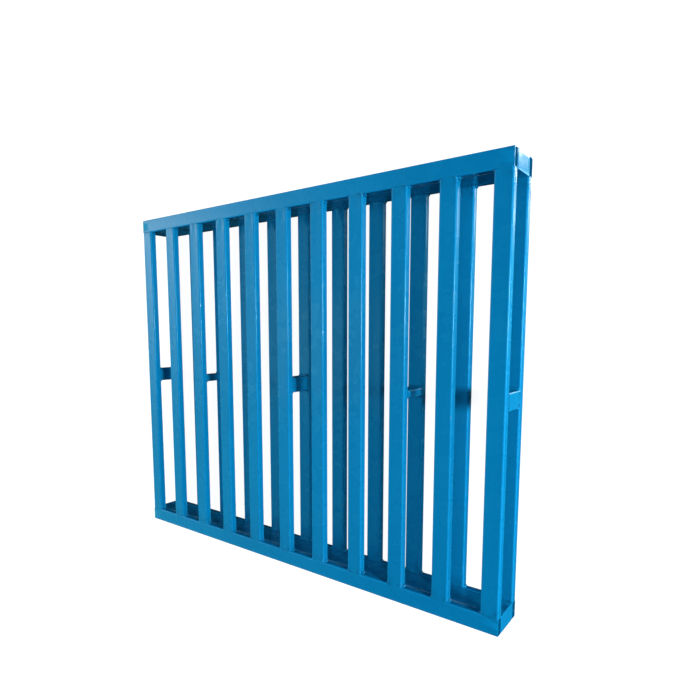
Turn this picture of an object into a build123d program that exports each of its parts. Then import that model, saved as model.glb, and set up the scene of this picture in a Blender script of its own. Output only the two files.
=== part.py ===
from build123d import *
import os

# Double-faced welded steel pallet, millimetres.
# Origin: centre of the footprint on the resting plane, +X along the 1200 mm
# side, +Y across, +Z up. Every tube is cold-formed rectangular section.

# ---- driving dimensions -------------------------------------------------
LENGTH = 1200.0          # overall, along X
WIDTH = 1000.0           # overall, along Y
HEIGHT = 110.0           # overall, along Z

DECK_W = 40.0            # deck tube 40 x 20 x 2, laid flat
DECK_H = 20.0
STR_W = 40.0             # stringer tube 70 x 40 x 2, on edge
POST_W = 40.0            # spacer post, 40 x 40 x 2 square tube
POST_THIN = 20.0         # the two lighter posts are deck tube, 40 x 20 x 2
WALL = 2.0
R_OUT = 4.0              # outside corner radius of every tube
R_IN = R_OUT - WALL

SLAT_COUNT = 11          # slats in each deck
POST_SLATS = (1, 3, 6, 9, 11)   # slats that carry a mid-width spacer post
THIN_SLATS = (3, 9)             # of those, the ones with a lighter post

CAP_T = 2.0              # stringer end plate
FILLET = 4.0             # weld fillet leg
STITCH_LEN = 60.0        # rail-to-stringer stitch weld
STITCH_X = (-570.0, -285.0, 0.0, 285.0, 570.0)   # the outer ones run to the ends

# ---- derived ------------------------------------------------------------
STR_H = HEIGHT - 2 * DECK_H                    # 70
RAIL_Y = (WIDTH - DECK_W) / 2                  # rail and stringer centre line
INNER_Y = WIDTH / 2 - DECK_W                   # inner face of rails and stringers
SLAT_LEN = 2 * INNER_Y                         # 920
PITCH = (LENGTH - DECK_W) / (SLAT_COUNT - 1)   # 116
Z_BOT = DECK_H / 2                             # lower deck centre height
Z_TOP = HEIGHT - DECK_H / 2                    # upper deck centre height
Z_MID = HEIGHT / 2
DECKS = (("top", Z_TOP, HEIGHT - DECK_H, HEIGHT), ("bottom", Z_BOT, DECK_H, 0.0))
SIDES = (("left", 1), ("right", -1))


def slat_x(n):
    """Centre of slat n, counted from the -X end."""
    return -(LENGTH - DECK_W) / 2 + (n - 1) * PITCH


def post_depth(n):
    """Size across (Y) of the post at slat n."""
    return POST_THIN if n in THIN_SLATS else POST_W


def section(w, h):
    return RectangleRounded(w, h, R_OUT) - RectangleRounded(w - 2 * WALL, h - 2 * WALL, R_IN)


def tube_x(w, h, length):
    return extrude(Plane.YZ * section(w, h), length / 2, both=True)


def tube_y(w, h, length):
    return extrude(Plane.XZ * section(w, h), length / 2, both=True)


def tube_z(w, d, length):
    return extrude(Plane.XY * section(w, d), length / 2, both=True)


def box_span(x0, x1, y0, y1, z0, z1):
    return Pos((x0 + x1) / 2, (y0 + y1) / 2, (z0 + z1) / 2) * Box(abs(x1 - x0), abs(y1 - y0), abs(z1 - z0))


def fillet_z(x, y, sx, sy, z0, z1):
    """Triangular weld standing in the corner at (x, y), open towards sx, sy."""
    tri = Polygon((x, y), (x + sx * FILLET, y), (x, y + sy * FILLET), align=None)
    return Pos(0, 0, z0) * extrude(tri, z1 - z0, dir=(0, 0, 1))


def fillet_x(y, z, sy, sz, x0, x1):
    """Triangular weld lying along X in the corner at (y, z)."""
    tri = Plane.YZ * Polygon((y, z), (y + sy * FILLET, z), (y, z + sz * FILLET), align=None)
    return Pos(x0, 0, 0) * extrude(tri, x1 - x0, dir=(1, 0, 0))


def solids_of(shape):
    return list(shape.solids())


parts = {}

# ---- rails: one each side of each deck, full length, open at both ends ---
rails = {}
for deck, zc, z_in, z_out in DECKS:
    for side, s in SIDES:
        rails[deck, side] = Pos(0, s * RAIL_Y, zc) * tube_x(DECK_W, DECK_H, LENGTH)
        parts[f"rail_{deck}_{side}"] = rails[deck, side]

# ---- slats: butted between the rails -------------------------------------
for deck, zc, z_in, z_out in DECKS:
    for n in range(1, SLAT_COUNT + 1):
        parts[f"slat_{deck}_{n:02d}"] = Pos(slat_x(n), 0, zc) * tube_y(DECK_W, DECK_H, SLAT_LEN)

# ---- stringers between the decks, closed by end plates -------------------
stringers = {}
for side, s in SIDES:
    stringers[side] = Pos(0, s * RAIL_Y, Z_MID) * tube_x(STR_W, STR_H, LENGTH - 2 * CAP_T)
    parts[f"stringer_{side}"] = stringers[side]
    for end, e in (("front", 1), ("rear", -1)):
        plate = extrude(Plane.YZ * RectangleRounded(STR_W, STR_H, R_OUT), CAP_T / 2, both=True)
        parts[f"stringer_cap_{side}_{end}"] = Pos(e * (LENGTH - CAP_T) / 2, s * RAIL_Y, Z_MID) * plate

# ---- spacer posts on the centre line -------------------------------------
for i, n in enumerate(POST_SLATS, 1):
    parts[f"spacer_post_{i}"] = Pos(slat_x(n), 0, Z_MID) * tube_z(POST_W, post_depth(n), STR_H)

# ---- welds: slat ends to rails -------------------------------------------
for deck, zc, z_in, z_out in DECKS:
    beads = []
    up = 1 if z_out > z_in else -1
    for n in range(1, SLAT_COUNT + 1):
        xc = slat_x(n)
        for side, s in SIDES:
            # corner fillets on the two flanks of the slat
            for f in (1, -1):
                if abs(xc + f * DECK_W / 2) < LENGTH / 2 - 1:
                    beads.append(fillet_z(xc + f * DECK_W / 2, s * INNER_Y, f, -s,
                                          zc - DECK_H / 2 + R_OUT, zc + DECK_H / 2 - R_OUT))
            # flush bead filling the groove over the rail's rounded edge
            flat = DECK_W / 2 - R_OUT
            block = box_span(xc - flat, xc + flat, s * INNER_Y, s * (INNER_Y + R_OUT),
                             z_out - up * R_OUT, z_out)
            core = Pos(0, s * RAIL_Y, zc) * extrude(
                Plane.YZ * RectangleRounded(DECK_W, DECK_H, R_OUT), LENGTH / 2, both=True)
            beads += solids_of(block - core)
    parts[f"weld_deck_{deck}"] = Compound(children=beads)

# ---- welds: stitches between rails and stringers -------------------------
for side, s in SIDES:
    beads = []
    for deck, zc, z_in, z_out in DECKS:
        core_r = Pos(0, s * RAIL_Y, zc) * extrude(
            Plane.YZ * RectangleRounded(DECK_W, DECK_H, R_OUT), LENGTH / 2, both=True)
        core_s = Pos(0, s * RAIL_Y, Z_MID) * extrude(
            Plane.YZ * RectangleRounded(STR_W, STR_H, R_OUT), LENGTH / 2, both=True)
        for xs in STITCH_X:
            for y_face, y_deep in ((s * WIDTH / 2, s * (WIDTH / 2 - 3.0)),
                                   (s * INNER_Y, s * (INNER_Y + 3.0))):
                block = box_span(xs - STITCH_LEN / 2, xs + STITCH_LEN / 2, y_face, y_deep,
                                 z_in - 3.4, z_in + 3.4)
                beads += solids_of(block - core_r - core_s)
    parts[f"weld_stitch_{side}"] = Compound(children=beads)

# ---- welds: spacer posts to the slats above and below --------------------
beads = []
run = POST_W / 2 - R_OUT
for n in POST_SLATS:
    xc = slat_x(n)
    for z, sz in ((DECK_H, 1), (HEIGHT - DECK_H, -1)):
        for s in (1, -1):
            beads.append(fillet_x(s * post_depth(n) / 2, z, s, sz, xc - run, xc + run))
parts["weld_posts"] = Compound(children=[b for x in beads for b in solids_of(x)])

# ---- write ----------------------------------------------------------------
os.makedirs("parts", exist_ok=True)
for name, shape in parts.items():
    shape.label = name
    export_step(shape, f"parts/{name}.step")
print(len(parts), "nodes")
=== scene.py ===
import math

import bmesh
import bpy
import numpy as np
from mathutils import Matrix, Vector, noise


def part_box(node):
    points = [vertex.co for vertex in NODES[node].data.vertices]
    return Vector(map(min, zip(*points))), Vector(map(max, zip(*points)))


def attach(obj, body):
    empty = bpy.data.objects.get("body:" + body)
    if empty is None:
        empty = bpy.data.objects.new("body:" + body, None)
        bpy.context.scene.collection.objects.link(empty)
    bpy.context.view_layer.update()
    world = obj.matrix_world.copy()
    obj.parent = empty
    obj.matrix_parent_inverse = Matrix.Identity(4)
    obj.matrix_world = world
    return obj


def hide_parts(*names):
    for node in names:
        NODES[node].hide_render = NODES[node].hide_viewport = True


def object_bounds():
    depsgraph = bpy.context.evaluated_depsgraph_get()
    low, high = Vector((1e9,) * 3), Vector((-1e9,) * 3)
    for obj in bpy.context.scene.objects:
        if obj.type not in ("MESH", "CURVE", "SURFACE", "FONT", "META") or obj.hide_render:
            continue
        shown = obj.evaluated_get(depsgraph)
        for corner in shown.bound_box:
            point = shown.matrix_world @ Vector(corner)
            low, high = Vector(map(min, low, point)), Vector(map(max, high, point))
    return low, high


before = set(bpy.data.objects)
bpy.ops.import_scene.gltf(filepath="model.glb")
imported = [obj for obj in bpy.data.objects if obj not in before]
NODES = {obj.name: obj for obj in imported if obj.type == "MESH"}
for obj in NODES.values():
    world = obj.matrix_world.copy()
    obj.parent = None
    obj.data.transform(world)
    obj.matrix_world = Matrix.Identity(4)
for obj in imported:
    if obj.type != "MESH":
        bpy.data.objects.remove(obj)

LO0, HI0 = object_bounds()

# ------------------------------------------------------------------ sizes, m
MM = 0.001
R_OUT = 4 * MM          # tube corner radius
WALL = 2 * MM
W_HALF = HI0.y          # half width over the rails
L_HALF = HI0.x
H_ALL = HI0.z


# ------------------------------------------------------------------ mesh kit
def rounded_profile(w, h, r, n_arc, flat_pts):
    """Points (u, v), edge weight, counter-clockwise, of a rounded rectangle."""
    pts = []
    corners = ((w / 2 - r, h / 2 - r, 0.0), (-w / 2 + r, h / 2 - r, 90.0),
               (-w / 2 + r, -h / 2 + r, 180.0), (w / 2 - r, -h / 2 + r, 270.0))
    for i, (cu, cv, a0) in enumerate(corners):
        for k in range(n_arc + 1):
            a = math.radians(a0 + 90.0 * k / n_arc)
            t = k / n_arc
            pts.append((cu + r * math.cos(a), cv + r * math.sin(a), math.sin(math.pi * t)))
        # straight run to the next corner, with a support point at each end
        nu, nv, na = corners[(i + 1) % 4]
        p = np.array(pts[-1][:2])
        q = np.array((nu + r * math.cos(math.radians(na)), nv + r * math.sin(math.radians(na))))
        run = np.linalg.norm(q - p)
        hold = min(1.0 * MM, run * 0.15)
        ts = [hold / run] + [(j + 1) / (flat_pts + 1) for j in range(flat_pts)] + [1 - hold / run]
        for t in ts:
            pts.append((*(p + (q - p) * t), 0.0))
    return pts


def to_axis(axis, c, u, v, s):
    if axis == "x":
        return (c[0] + s, c[1] + u, c[2] + v)
    if axis == "y":
        return (c[0] - u, c[1] + s, c[2] + v)
    return (c[0] + u, c[1] + v, c[2] + s)


def finish_mesh(name, verts, faces, attrs, sharp=32.0):
    me = bpy.data.meshes.new(name)
    me.from_pydata([tuple(v) for v in verts], [], faces)
    for key, vals in attrs.items():
        a = me.attributes.new(key, "FLOAT", "POINT")
        a.data.foreach_set("value", np.asarray(vals, dtype=np.float32))
    bm = bmesh.new()
    bm.from_mesh(me)
    bmesh.ops.recalc_face_normals(bm, faces=bm.faces)
    bm.to_mesh(me)
    bm.free()
    me.polygons.foreach_set("use_smooth", [True] * len(me.polygons))
    me.set_sharp_from_angle(angle=math.radians(sharp))
    me.update()
    o = bpy.data.objects.new(name, me)
    bpy.context.scene.collection.objects.link(o)
    return o


def tube(name, w, h, length, axis, c, seed, step=40 * MM, open_end=False, worn=1.0):
    """A cold-formed rectangular tube: rounded corners, faces that are a little
    hollow and wavy as rolled tube is, and deburred ends."""
    prof = rounded_profile(w, h, R_OUT, 7, 3)
    inner = rounded_profile(w - 2 * WALL, h - 2 * WALL, R_OUT - WALL, 3, 0)
    n = max(2, int(round(length / step)))
    burr = 0.45 * MM if open_end else 0.15 * MM
    stations = [-length / 2, -length / 2 + burr]
    stations += [-length / 2 + length * i / n for i in range(1, n)]
    stations += [length / 2 - burr, length / 2]
    verts, edge, endw = [], [], []
    hw, hh = w / 2, h / 2
    for k, s in enumerate(stations):
        tip = k in (0, len(stations) - 1)
        # weight near the tube ends: the mask for grime and painted joint shade in the paint
        near = max(0.0, 1.0 - (length / 2 - abs(s)) / (6 * MM))
        for u, v, e in prof:
            uu, vv = u, v
            if tip:
                uu -= math.copysign(burr, u) * (abs(u) > hw - R_OUT * 0.35)
                vv -= math.copysign(burr, v) * (abs(v) > hh - R_OUT * 0.35)
            elif e == 0.0:
                # faces sink by up to 0.25 mm between the corners
                p = Vector((s * 9.0 + seed * 7.1, u * 40.0 + seed, v * 40.0 - seed))
                wav = 0.5 + 0.5 * noise.noise(p)
                if abs(abs(u) - hw) < 1e-6:
                    f = 1 - (v / (hh - R_OUT)) ** 2
                    uu -= math.copysign(0.25 * MM * max(f, 0) * (0.35 + wav), u)
                elif abs(abs(v) - hh) < 1e-6:
                    f = 1 - (u / (hw - R_OUT)) ** 2
                    vv -= math.copysign(0.25 * MM * max(f, 0) * (0.35 + wav), v)
            verts.append(to_axis(axis, c, uu, vv, s))
            edge.append(max(e, 0.35 * tip * (1.0 if open_end else 0.0)) * worn)
            endw.append(near)
    m = len(prof)
    faces = []
    for k in range(len(stations) - 1):
        for i in range(m):
            j = (i + 1) % m
            faces.append((k * m + i, k * m + j, (k + 1) * m + j, (k + 1) * m + i))
    # bore
    base = len(verts)
    q = len(inner)
    ins = [-length / 2, -length / 2 + 30 * MM, length / 2 - 30 * MM, length / 2]
    for s in ins:
        for u, v, _ in inner:
            verts.append(to_axis(axis, c, u, v, s))
            edge.append(0.0)
            endw.append(1.0 if abs(abs(s) - length / 2) < 1e-9 else 0.0)
    for k in range(len(ins) - 1):
        for i in range(q):
            j = (i + 1) % q
            faces.append((base + k * q + i, base + (k + 1) * q + i, base + (k + 1) * q + j, base + k * q + j))
    # end rings, stitched by angle
    for first, inn in ((0, base), ((len(stations) - 1) * m, base + (len(ins) - 1) * q)):
        faces += stitch([first + i for i in range(m)], [inn + i for i in range(q)],
                        [(p[0], p[1]) for p in prof], [(p[0], p[1]) for p in inner], hw, hh)
    o = finish_mesh(name, verts, faces, {"edge": edge, "endw": endw, "piece": [seed * 0.137 % 1.0] * len(verts)})
    return o


def stitch(outer, inner, po, pi, hw, hh):
    """Triangles between two loops that share a start direction."""
    def ang(p):
        return math.atan2(p[1] / hh, p[0] / hw) % (2 * math.pi)
    ao = [ang(p) for p in po]
    ai = [ang(p) for p in pi]
    io = min(range(len(ao)), key=lambda k: ao[k])
    ii = min(range(len(ai)), key=lambda k: ai[k])
    outer = outer[io:] + outer[:io]; ao = ao[io:] + ao[:io]
    inner = inner[ii:] + inner[:ii]; ai = ai[ii:] + ai[:ii]
    ao = ao + [ao[0] + 2 * math.pi]
    ai = ai + [ai[0] + 2 * math.pi]
    faces, a, b, no, ni = [], 0, 0, len(outer), len(inner)
    while a < no or b < ni:
        if b >= ni or (a < no and ao[a + 1] <= ai[b + 1]):
            faces.append((outer[a % no], outer[(a + 1) % no], inner[b % ni]))
            a += 1
        else:
            faces.append((outer[a % no], inner[(b + 1) % ni], inner[b % ni]))
            b += 1
    return faces


def plate(name, w, h, t, c, seed, out):
    """End plate, rounded outline with a ground edge, thin along X."""
    prof = rounded_profile(w, h, R_OUT, 7, 3)
    bev = 0.35 * MM
    rings = [(-t / 2, 0.0), (t / 2 - bev, 0.0), (t / 2 - bev * 0.3, bev * 0.3), (t / 2, bev)]
    verts, edge, faces = [], [], []
    m = len(prof)
    for s, inset in rings:
        f = 1 - inset / (min(w, h) / 2)
        for u, v, e in prof:
            verts.append((c[0] + out * s, c[1] + u * f, c[2] + v * f))
            edge.append(1.0 if inset > 0 else 0.6 * e)
    for k in range(len(rings) - 1):
        for i in range(m):
            j = (i + 1) % m
            faces.append((k * m + i, k * m + j, (k + 1) * m + j, (k + 1) * m + i))
    # faces filled by shrinking loops, the outer one a little dished
    for start, s, sgn in ((0, -t / 2, 0.0), ((len(rings) - 1) * m, t / 2, 1.0)):
        prev = start
        for f in (0.8, 0.5, 0.2):
            here = len(verts)
            for u, v, e in prof:
                dish = 0.12 * MM * (1 - f) * sgn
                verts.append((c[0] + out * (s - dish), c[1] + u * f, c[2] + v * f))
                edge.append(0.0)
            for i in range(m):
                j = (i + 1) % m
                faces.append((prev + i, prev + j, here + j, here + i))
            prev = here
        mid = len(verts)
        verts.append((c[0] + out * (s - 0.12 * MM * sgn), c[1], c[2]))
        edge.append(0.0)
        for i in range(m):
            faces.append((prev + i, prev + (i + 1) % m, mid))
    return finish_mesh(name, verts, faces, {"edge": edge, "endw": [0.6] * len(verts),
                                            "piece": [seed * 0.137 % 1.0] * len(verts)})


class Beads:
    """Many weld beads in one mesh, each a closed rippled body."""

    def __init__(self):
        self.v, self.f, self.r = [], [], []

    def run(self, a, b, n1, n2, leg, seed, arc=9, convex=0.22, ripple=1.9 * MM, taper=3.0 * MM, sink=0.5 * MM,
            cap=None):
        a, b, n1, n2 = Vector(a), Vector(b), Vector(n1), Vector(n2)
        d = b - a
        length = d.length
        steps = max(8, int(length / (0.42 * MM)))
        base = len(self.v)
        ring = arc + 2
        for k in range(steps + 1):
            t = k / steps
            s = t * length
            tap = min(1.0, s / taper, (length - s) / taper)
            tap = 0.30 + 0.70 * math.sqrt(max(0.0, 1 - (1 - tap) ** 2))
            wob = 0.05 * noise.noise(Vector((s * 260, seed * 3.3, 0.7)))
            # stacked ripples: steep front, long back
            ph = (s / ripple + 0.25 * noise.noise(Vector((s * 400, seed, 2.0)))) % 1.0
            rip = 0.055 * (ph ** 0.6 - 0.5)
            size = leg * tap * (0.93 + wob)
            crown = convex * (1 + rip * 5.0)
            p = a + d * t
            mid = (n1 + n2).normalized()
            for i in range(arc):
                q = i / (arc - 1)
                # chord from the toe on face 1 to the toe on face 2, bulged out
                pt = n1 * (size * (1 - q)) + n2 * (size * q)
                pt += mid * (size * crown * math.sin(math.pi * q) * 1.1)
                # crescent ripples lag at the toes
                lag = d.normalized() * (-0.9 * MM * (2 * q - 1) ** 2 * tap)
                x = p + pt + lag
                if cap:
                    x = cap(x)
                self.v.append(x)
                self.r.append(ph)
            self.v.append(p + n2 * (size * 0.5) - n1 * sink)
            self.v.append(p + n1 * (size * 0.5) - n2 * sink)
            self.r += [0.5, 0.5]
        for k in range(steps):
            for i in range(ring):
                j = (i + 1) % ring
                self.f.append((base + k * ring + i, base + (k + 1) * ring + i,
                               base + (k + 1) * ring + j, base + k * ring + j))
        self.f.append(tuple(base + i for i in range(ring)))
        self.f.append(tuple(base + steps * ring + i for i in reversed(range(ring))))

    def build(self, name, seed):
        n = len(self.v)
        return finish_mesh(name, self.v, self.f, {"edge": [0.0] * n, "endw": [1.0] * n,
                                                  "piece": [seed * 0.137 % 1.0] * n, "ripple": self.r}, sharp=70.0)


# ------------------------------------------------------------------ materials
class Graph:
    def __init__(self, name):
        self.m = bpy.data.materials.new(name)
        self.m.use_nodes = True
        self.t = self.m.node_tree
        self.t.nodes.clear()
        self.out = self.t.nodes.new("ShaderNodeOutputMaterial")
        self.b = self.t.nodes.new("ShaderNodeBsdfPrincipled")
        self.t.links.new(self.b.outputs[0], self.out.inputs[0])
        tc = self.t.nodes.new("ShaderNodeTexCoord")
        self.co = tc.outputs["Object"]

    def link(self, a, b):
        self.t.links.new(a, b)

    def stretch(self, scale, co=None):
        n = self.t.nodes.new("ShaderNodeMapping")
        n.inputs["Scale"].default_value = scale
        self.link(co or self.co, n.inputs["Vector"])
        return n.outputs[0]

    def noise(self, scale, detail=4.0, rough=0.55, co=None, dist=0.0):
        n = self.t.nodes.new("ShaderNodeTexNoise")
        n.inputs["Scale"].default_value = scale
        n.inputs["Detail"].default_value = detail
        n.inputs["Roughness"].default_value = rough
        n.inputs["Distortion"].default_value = dist
        self.link(co or self.co, n.inputs["Vector"])
        return n.outputs["Fac"]

    def voronoi(self, scale, co=None, feature="F1"):
        n = self.t.nodes.new("ShaderNodeTexVoronoi")
        n.feature = feature
        n.inputs["Scale"].default_value = scale
        self.link(co or self.co, n.inputs["Vector"])
        return n.outputs["Distance"]

    def attr(self, name):
        n = self.t.nodes.new("ShaderNodeAttribute")
        n.attribute_name = name
        return n.outputs["Fac"]

    def step(self, x, lo, hi, a=0.0, b=1.0):
        n = self.t.nodes.new("ShaderNodeMapRange")
        n.interpolation_type = "SMOOTHSTEP"
        n.inputs["From Min"].default_value = lo
        n.inputs["From Max"].default_value = hi
        n.inputs["To Min"].default_value = a
        n.inputs["To Max"].default_value = b
        self.link(x, n.inputs["Value"])
        return n.outputs[0]

    def math(self, op, a, b=None):
        n = self.t.nodes.new("ShaderNodeMath")
        n.operation = op
        for i, x in enumerate((a, b)):
            if x is None:
                continue
            if isinstance(x, (int, float)):
                n.inputs[i].default_value = x
            else:
                self.link(x, n.inputs[i])
        return n.outputs[0]

    def mix(self, fac, a, b, mode="MIX"):
        n = self.t.nodes.new("ShaderNodeMix")
        n.data_type = "RGBA"
        n.blend_type = mode
        ins = [s for s in n.inputs if s.type == "RGBA"]
        if isinstance(fac, (int, float)):
            n.inputs[0].default_value = fac
        else:
            self.link(fac, n.inputs[0])
        for s, x in zip(ins, (a, b)):
            if isinstance(x, tuple):
                s.default_value = (*x, 1.0)
            else:
                self.link(x, s)
        return [s for s in n.outputs if s.type == "RGBA"][0]

    def bump(self, height, dist, strength=1.0, normal=None):
        n = self.t.nodes.new("ShaderNodeBump")
        n.inputs["Distance"].default_value = dist
        n.inputs["Strength"].default_value = strength
        self.link(height, n.inputs["Height"])
        if normal is not None:
            self.link(normal, n.inputs["Normal"])
        return n.outputs[0]


def paint(name, along, wear=0.5, grime_and_shade=0.5, tone=0.0, peel=1.0, groove=0.0, matt=1.0, weld=False):
    """Sprayed gloss enamel over mill steel. along is the tube's own axis, for
    drag marks and the faint lines that rolling leaves."""
    g = Graph(name)
    b = g.b
    big = g.noise(2.3, 1.0, 0.5)
    mid = g.noise(17.0, 3.0, 0.6)
    fine = g.noise(150.0, 2.0, 0.6)
    deep = (0.0008, 0.138 + 0.010 * tone, 0.324 + 0.014 * tone)
    full = (0.0010, 0.160 + 0.010 * tone, 0.367 + 0.014 * tone)
    pale = (0.0030, 0.198, 0.4100)
    col = g.mix(g.step(big, 0.30, 0.70), deep, full)
    col = g.mix(g.math("MULTIPLY", g.step(mid, 0.45, 0.85), 0.24), col, pale)
    col = g.mix(g.math("MULTIPLY", g.step(fine, 0.50, 0.75), 0.14), col, deep)
    # one piece is never quite the tone of the next
    col = g.mix(g.math("MULTIPLY", g.attr("piece"), 0.16), col, pale)
    # thin paint over the rounded corners
    edge = g.attr("edge")
    col = g.mix(g.math("MULTIPLY", edge, 0.20), col, (0.010, 0.26, 0.62))
    # grime, with painted occlusion shade: the paint darkens by the welds and in the joints
    endw = g.attr("endw")
    soil_and_shade_mask = g.math("MULTIPLY", g.step(g.noise(55.0, 3.0, 0.65), 0.42, 0.66), g.step(endw, 0.0, 1.0))
    soil_and_shade_mask = g.math("MULTIPLY", soil_and_shade_mask, grime_and_shade * 0.55)
    col = g.mix(soil_and_shade_mask, col, (0.002, 0.026, 0.060))
    # dull hand and dust clouds
    dust = g.step(g.noise(6.0, 4.0, 0.62, dist=0.6), 0.52, 0.80)
    col = g.mix(g.math("MULTIPLY", dust, 0.020 + 0.03 * grime_and_shade), col, (0.05, 0.22, 0.44))
    if groove:
        # a pale grey line, broken up by noise, on the rounded corners where two tubes meet
        line = g.math("MULTIPLY", g.step(edge, 0.35, 0.95), g.step(g.noise(34.0, 3.0, 0.6), 0.30, 0.62))
        col = g.mix(g.math("MULTIPLY", line, groove), col, (0.16, 0.20, 0.24))
    # drag scratches along the tube
    sc = {"x": (12.0, 700.0, 700.0), "y": (700.0, 12.0, 700.0), "z": (700.0, 700.0, 16.0)}[along]
    drag = g.step(g.noise(1.0, 1.0, 0.5, co=g.stretch(sc)), 0.68, 0.76)
    marks = g.math("MULTIPLY", g.math("MULTIPLY", drag, g.step(g.noise(10.0, 2.0, 0.5), 0.52, 0.66)), 0.45 * wear)
    col = g.mix(marks, col, (0.020, 0.29, 0.56))
    # chips on the corners: primer, then bare steel
    chipn = g.noise(210.0, 3.0, 0.65)
    chip = g.math("MULTIPLY", g.step(chipn, 0.60, 0.63), g.step(edge, 0.45, 0.95))
    chip = g.math("MULTIPLY", chip, g.step(mid, 0.60, 0.68))
    chip = g.math("MULTIPLY", chip, wear)
    col = g.mix(chip, col, (0.17, 0.19, 0.21))
    bare = g.math("MULTIPLY", g.step(chipn, 0.66, 0.69), chip)
    col = g.mix(bare, col, (0.30, 0.23, 0.18))
    g.link(col, b.inputs["Base Color"])

    rough = g.step(mid, 0.30, 0.75, 0.21 * matt, 0.33 * matt)
    rough = g.math("ADD", rough, g.math("MULTIPLY", dust, 0.12))
    rough = g.math("ADD", rough, g.math("MULTIPLY", marks, 0.4))
    rough = g.math("ADD", rough, g.math("MULTIPLY", soil_and_shade_mask, 0.5))
    rough = g.math("ADD", rough, g.math("MULTIPLY", chip, 0.30))
    g.link(g.math("MINIMUM", rough, 0.85), b.inputs["Roughness"])
    b.inputs["IOR"].default_value = 1.45
    b.inputs["Specular IOR Level"].default_value = 0.30
    b.inputs["Specular Tint"].default_value = (0.12, 0.80, 1.0, 1.0)
    b.inputs["Coat Weight"].default_value = 0.46
    b.inputs["Coat Roughness"].default_value = 0.09
    b.inputs["Coat IOR"].default_value = 1.48
    g.link(g.math("MULTIPLY", bare, 0.8), b.inputs["Metallic"])

    # orange peel, slow sag of the sprayed film, rolled steel below, chip depth
    n = g.bump(g.noise(520.0, 1.0, 0.5), 0.00007 * peel, 0.55)
    n = g.bump(g.noise(75.0, 2.0, 0.5), 0.00035 * peel, 0.40, n)
    hollow = g.math("SUBTRACT", 1.0, g.math("ADD", chip, g.math("MULTIPLY", marks, 0.3)))
    n = g.bump(hollow, 0.00018, 0.8, n)
    if weld:
        n = g.bump(g.noise(900.0, 2.0, 0.6), 0.00012, 0.6, n)
        n = g.bump(g.step(g.voronoi(420.0), 0.0, 0.35, 1.0, 0.0), 0.00015, 0.4, n)
    g.link(n, b.inputs["Normal"])
    return g.m


MAT = {
    "slat_top": paint("enamel_slat_top", "y", wear=0.5, grime_and_shade=0.5, tone=0.2),
    "slat_bottom": paint("enamel_slat_bottom", "y", wear=0.7, grime_and_shade=0.8, tone=-0.3),
    "rail_top": paint("enamel_rail_top", "x", wear=0.5, grime_and_shade=0.35, tone=0.0),
    "rail_bottom": paint("enamel_rail_bottom", "x", wear=0.8, grime_and_shade=0.6, tone=-0.2),
    "stringer": paint("enamel_stringer", "x", wear=0.5, grime_and_shade=0.6, tone=0.1, groove=0.75),
    "post": paint("enamel_post", "z", wear=0.4, grime_and_shade=0.9, tone=0.3),
    "cap": paint("enamel_cap", "z", wear=0.6, grime_and_shade=0.4, tone=0.4, peel=0.8, matt=0.6),
    "weld": paint("enamel_weld", "x", wear=0.3, grime_and_shade=0.9, tone=0.5, peel=1.6, weld=True),
}


def put(o, mat, node):
    o.data.materials.clear()
    o.data.materials.append(MAT[mat])
    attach(o, "root")
    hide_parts(node)
    return o


# ------------------------------------------------------------------ tubes
seed = 1
for node in sorted(NODES):
    if node.startswith("weld_"):
        continue
    lo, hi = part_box(node)
    lo, hi = Vector(lo), Vector(hi)
    c, size = (lo + hi) / 2, hi - lo
    seed += 1
    if node.startswith("slat_"):
        o = tube("vis_" + node, size.x, size.z, size.y, "y", c, seed)
        put(o, "slat_top" if "_top_" in node else "slat_bottom", node)
    elif node.startswith("rail_"):
        o = tube("vis_" + node, size.y, size.z, size.x, "x", c, seed, open_end=True, worn=1.0)
        put(o, "rail_top" if "_top_" in node else "rail_bottom", node)
    elif node.startswith("stringer_cap_"):
        o = plate("vis_" + node, size.y, size.z, size.x, c, seed, 1.0 if c.x > 0 else -1.0)
        put(o, "cap", node)
    elif node.startswith("stringer_"):
        o = tube("vis_" + node, size.y, size.z, size.x, "x", c, seed)
        put(o, "stringer", node)
    else:
        o = tube("vis_" + node, size.x, size.y, size.z, "z", c, seed, step=18 * MM)
        put(o, "post", node)

# ------------------------------------------------------------------ welds
DECKS = {}
for deck in ("top", "bottom"):
    lo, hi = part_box("slat_%s_01" % deck)
    DECKS[deck] = (lo[2], hi[2])
SLATS = []
for k in range(1, 12):
    lo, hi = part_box("slat_top_%02d" % k)
    SLATS.append((lo[0], hi[0]))
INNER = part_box("slat_top_01")[1][1]


def clamp(x):
    """Keep a bead inside the outer skin of the part."""
    return Vector((max(-L_HALF + 0.0001, min(L_HALF - 0.0001, x[0])),
                   max(-W_HALF + 0.0001, min(W_HALF - 0.0001, x[1])),
                   max(0.0001, min(H_ALL - 0.0001, x[2]))))


for deck, (z0, z1) in DECKS.items():
    wb = Beads()
    s = 0
    for x0, x1 in SLATS:
        for side in (1, -1):
            y = side * INNER
            for x, f in ((x0, -1), (x1, 1)):
                s += 1
                if abs(x) > L_HALF - 0.002:
                    continue
                up = s % 2 == 0
                a, b = (x, y, z0 + 3.0 * MM), (x, y, z1 - 3.0 * MM)
                wb.run(b if up else a, a if up else b, (f, 0, 0), (0, -side, 0), 4.6 * MM, s)
            # bead over the rail's rounded edge, dressed almost flush with the deck
            zt, dz = (z1, -1) if deck == "top" else (z0, 1)
            for xa, xb in ((x0 + 3.2 * MM, x1 - 3.2 * MM),):
                s += 1
                p0 = (xa, y + side * 0.2 * MM, zt + dz * 3.6 * MM)
                p1 = (xb, y + side * 0.2 * MM, zt + dz * 3.6 * MM)
                lim = zt + dz * 0.12 * MM
                flat = (lambda q, lim=lim, dz=dz: Vector((q[0], q[1], min(q[2], lim) if dz < 0 else max(q[2], lim))))
                wb.run(p0, p1, (0, side, 0), (0, 0, -dz), 4.2 * MM, s, convex=0.30, cap=flat)
    o = wb.build("vis_weld_deck_" + deck, 3.0)
    put(o, "weld", "weld_deck_" + deck)

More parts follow.
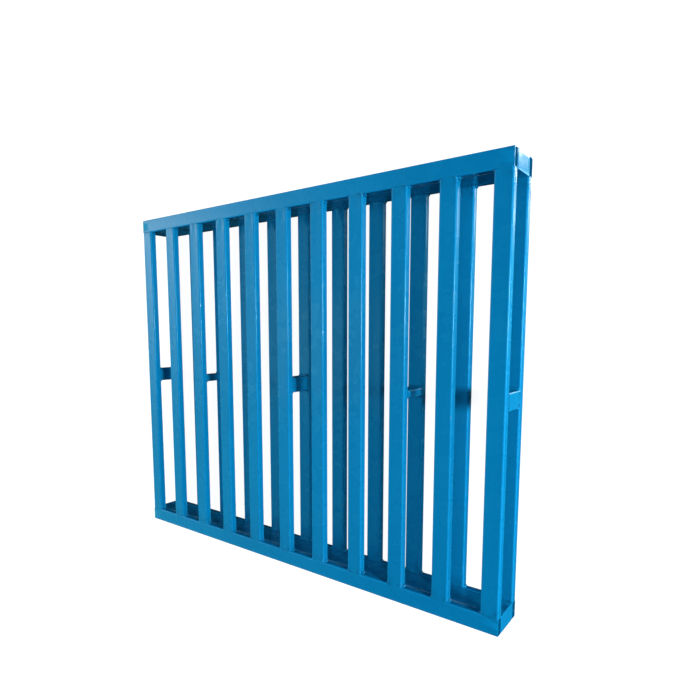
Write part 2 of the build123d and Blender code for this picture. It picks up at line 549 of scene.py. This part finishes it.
STITCH_X = (-0.570, -0.285, 0.0, 0.285, 0.570)
STITCH_L = 0.060
for name, side in (("left", 1), ("right", -1)):
    wb = Beads()
    s = 40
    for z in (DECKS["bottom"][1], DECKS["top"][0]):
        for xs in STITCH_X:
            for face, inward in ((side * W_HALF, -side), (side * INNER, side)):
                s += 1
                a = [xs - STITCH_L / 2 + 0.5 * MM, face + inward * 3.1 * MM, z]
                b = [xs + STITCH_L / 2 - 0.5 * MM, face + inward * 3.1 * MM, z]
                # the bead sits in the V between the two rounded corners
                o1 = Vector((0, -inward, 0.95)).normalized()
                o2 = Vector((0, -inward, -0.95)).normalized()
                lim = face + inward * 0.15 * MM
                keep = (lambda q, lim=lim, inward=inward: Vector(
                    (q[0], max(q[1], lim) if inward > 0 else min(q[1], lim), q[2])))
                wb.run(a, b, o1, o2, 3.7 * MM, s, convex=0.16, ripple=2.4 * MM, taper=4.0 * MM, cap=keep)
    o = wb.build("vis_weld_stitch_" + name, 4.0)
    put(o, "weld", "weld_stitch_" + name)

wb = Beads()
s = 90
for i in range(1, 6):
    lo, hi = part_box("spacer_post_%d" % i)
    for z, dz in ((lo[2], 1), (hi[2], -1)):
        for side, y in ((1, hi[1]), (-1, lo[1])):
            s += 1
            wb.run((lo[0] + 2.2 * MM, y, z), (hi[0] - 2.2 * MM, y, z), (0, side, 0), (0, 0, dz), 4.8 * MM, s)
o = wb.build("vis_weld_posts", 5.0)
put(o, "weld", "weld_posts")

# ------------------------------------------------------------------ floor
bpy.ops.mesh.primitive_grid_add(x_subdivisions=4, y_subdivisions=4, size=16.0, location=(0, 0, -0.0004))
floor = bpy.context.object
floor.name = "floor"
fm = bpy.data.materials.new("floor_pale")
fm.use_nodes = True
bs = fm.node_tree.nodes["Principled BSDF"]
bs.inputs["Base Color"].default_value = (0.20, 0.20, 0.20, 1)
bs.inputs["Roughness"].default_value = 0.9
bs.inputs["Specular IOR Level"].default_value = 0.0
bs.inputs["Emission Color"].default_value = (1, 1, 1, 1)
bs.inputs["Emission Strength"].default_value = 0.95
floor.data.materials.append(fm)
floor.visible_diffuse = False
floor.visible_glossy = False
floor.visible_shadow = False

# pale surround, so that no view looks past the floor into the light itself
bpy.ops.mesh.primitive_uv_sphere_add(segments=48, ring_count=24, radius=7.6, location=(0, 0, 0))
dome = bpy.context.object
dome.name = "backdrop"
for poly in dome.data.polygons:
    poly.use_smooth = True
dm = bpy.data.materials.new("backdrop_pale")
dm.use_nodes = True
bs = dm.node_tree.nodes["Principled BSDF"]
bs.inputs["Base Color"].default_value = (0.05, 0.05, 0.05, 1)
bs.inputs["Roughness"].default_value = 1.0
bs.inputs["Specular IOR Level"].default_value = 0.0
bs.inputs["Emission Color"].default_value = (0.97, 0.985, 1, 1)
bs.inputs["Emission Strength"].default_value = 0.93
dome.data.materials.append(dm)
dome.visible_diffuse = False
dome.visible_glossy = False
dome.visible_transmission = False
dome.visible_shadow = False

# ------------------------------------------------------------------ light
world = bpy.data.worlds.new("studio")
bpy.context.scene.world = world
world.use_nodes = True


class Sky(Graph):
    def __init__(self, tree):
        self.t = tree
        tc = tree.nodes.new("ShaderNodeTexCoord")
        self.co = tc.outputs["Generated"]
        sep = tree.nodes.new("ShaderNodeSeparateXYZ")
        self.link(self.co, sep.inputs[0])
        self.x, self.y, self.z = sep.outputs

    def dot(self, v):
        n = self.t.nodes.new("ShaderNodeVectorMath")
        n.operation = "DOT_PRODUCT"
        n.inputs[1].default_value = v
        self.link(self.co, n.inputs[0])
        return n.outputs["Value"]

    def gauss(self, q, mid, width):
        d = self.math("DIVIDE", self.math("SUBTRACT", q, mid), width)
        return self.math("EXPONENT", self.math("MULTIPLY", self.math("MULTIPLY", d, d), -1.0))


w = Sky(world.node_tree)
bg = world.node_tree.nodes["Background"]
# even room light, dimmer to the two sides, stronger past the -X end, next to
# none from below on the -X side
base = w.step(w.math("ABSOLUTE", w.y), 0.30, 0.90, 0.37, 0.05)
base = w.math("MULTIPLY", base, w.step(w.x, -0.76, -0.32, 3.6, 0.25))
under = w.math("MULTIPLY", w.step(w.z, 0.05, -0.10), w.step(w.x, 0.12, 0.0))
base = w.math("MULTIPLY", base, w.math("SUBTRACT", 1.0, w.math("MULTIPLY", under, 0.96)))
# soft wall of light past the -X end
wall = w.math("EXPONENT", w.math("MULTIPLY", w.math("SUBTRACT", w.dot((-0.90, 0.42, 0.10)), 0.841), 23.0))
wall = w.math("MULTIPLY", w.math("MINIMUM", wall, 1.0), w.step(w.z, 0.34, 0.50))
wall = w.math("MULTIPLY", w.math("MULTIPLY", wall, w.step(w.y, 0.55, 0.30)), 2.6)
# long lamp behind the +X side, seen in the tube sides as a pale streak
q = w.math("ADD", w.y, w.math("ADD", w.math("MULTIPLY", w.z, 0.28), 0.06))
low = w.math("MULTIPLY", w.step(w.z, -0.45, -0.60), w.step(w.x, 0.0, 0.2))
near = w.step(w.x, 0.46, 0.36)
amp = w.math("ADD", w.math("MULTIPLY", near, 2.2), 0.36)
strip = w.math("MULTIPLY", w.math("MULTIPLY", w.gauss(q, -0.010, 0.032), low), amp)
card = w.math("MULTIPLY", w.math("MULTIPLY", w.step(q, 0.076, 0.084), w.step(q, 0.20, 0.15)), w.step(w.z, -0.89, -0.91, 0.0, 11.0))
card = w.math("MULTIPLY", card, w.step(w.x, 0.1, 0.2))
glow = w.math("MULTIPLY", w.math("MULTIPLY", w.gauss(q, -0.08, 0.17), low), w.math("MULTIPLY", near, 1.2))
base = w.math("ADD", base, glow)
lit = w.math("ADD", w.math("ADD", wall, strip), card)
tot = w.math("ADD", base, lit)
frac = w.math("DIVIDE", lit, w.math("ADD", tot, 0.0001))
g_col = w.mix(frac, (0.12, 0.86, 1.0), (1.0, 1.0, 1.0))
w.link(g_col, bg.inputs["Color"])
w.link(tot, bg.inputs["Strength"])


def area(name, pos, target, sx, sy, energy, color=(1, 1, 1)):
    ld = bpy.data.lights.new(name, "AREA")
    ld.shape = "RECTANGLE"
    ld.size, ld.size_y = sx, sy
    ld.energy = energy
    ld.color = color
    lo_ = bpy.data.objects.new(name, ld)
    bpy.context.scene.collection.objects.link(lo_)
    lo_.location = pos
    d = Vector(target) - Vector(pos)
    lo_.rotation_mode = "QUATERNION"
    lo_.rotation_quaternion = d.to_track_quat("-Z", "Y")
    return lo_


# key: from the +X side, 20 degrees above the deck
KEY = Vector((0.930, 0.060, 0.335)).normalized() * 5.8
key = area("key_right", KEY, (0.0, 0.0, 0.05), 0.9, 0.9, 485.0)
key.visible_glossy = False
# the same lamp as the gloss sees it
shine = area("key_shine", KEY, (0.0, 0.0, 0.05), 0.9, 0.9, 320.0)
shine.visible_diffuse = False
# soft fills that shade the paint without showing in its gloss
kick = area("kick_right", (2.5, 0.0, 0.05), (0.6, 0.0, 0.055), 1.2, 0.5, 28.0)
kick.visible_glossy = False
fill = area("fill_left", (-1.6, 0.0, 2.2), (0.0, 0.0, 0.1), 0.8, 0.8, 29.0)
fill.visible_glossy = False
# low fills for the three outer sides that the main view does not see
for name, pos in (("low_front", (0.0, -2.6, 0.055)), ("low_back", (0.0, 2.6, 0.055)), ("low_end", (-2.7, 0.0, 0.055))):
    side = area(name, pos, (0.0, 0.0, 0.055), 1.6, 0.3, 22.0)
    side.visible_glossy = False

# ------------------------------------------------------------------ camera
# pose in the upright view: x right, y away, z up, origin at the lower left of
# the standing pallet's near face, turned here into the lying row frame
CAM = (1565.9, -1080.2, 655.3)
YAW, PITCH, ROLL = 37.64, -6.65, -0.21
F_PX, CX, CY = 541.5, 322.0, 390.2


def lie(v):
    return Vector((v[0], v[2], -v[1]))


y_, p_, r_ = (math.radians(a) for a in (YAW, PITCH, ROLL))
fwd = Vector((-math.sin(y_) * math.cos(p_), math.cos(y_) * math.cos(p_), math.sin(p_)))
right = Vector((math.cos(y_), math.sin(y_), 0.0))
up = right.cross(fwd)
r2 = math.cos(r_) * right + math.sin(r_) * up
u2 = -math.sin(r_) * right + math.cos(r_) * up
fwd, r2, u2 = lie(fwd), lie(r2), lie(u2)
cam_d = bpy.data.cameras.new("camera")
cam = bpy.data.objects.new("camera", cam_d)
bpy.context.scene.collection.objects.link(cam)
cam_d.sensor_width = 36.0
cam_d.lens = F_PX / 700.0 * 36.0
cam_d.shift_x = (350.0 - CX) / 700.0
cam_d.shift_y = (CY - 350.0) / 700.0
cam_d.clip_start = 0.01
cam_d.clip_end = 50.0
pos = Vector((CAM[0] * MM - L_HALF, CAM[2] * MM - W_HALF, H_ALL - CAM[1] * MM))
rot = Matrix((r2, u2, -fwd)).transposed()
cam.matrix_world = Matrix.Translation(pos) @ rot.to_4x4()
bpy.context.scene.camera = cam
bpy.context.scene.view_settings.view_transform = "Standard"
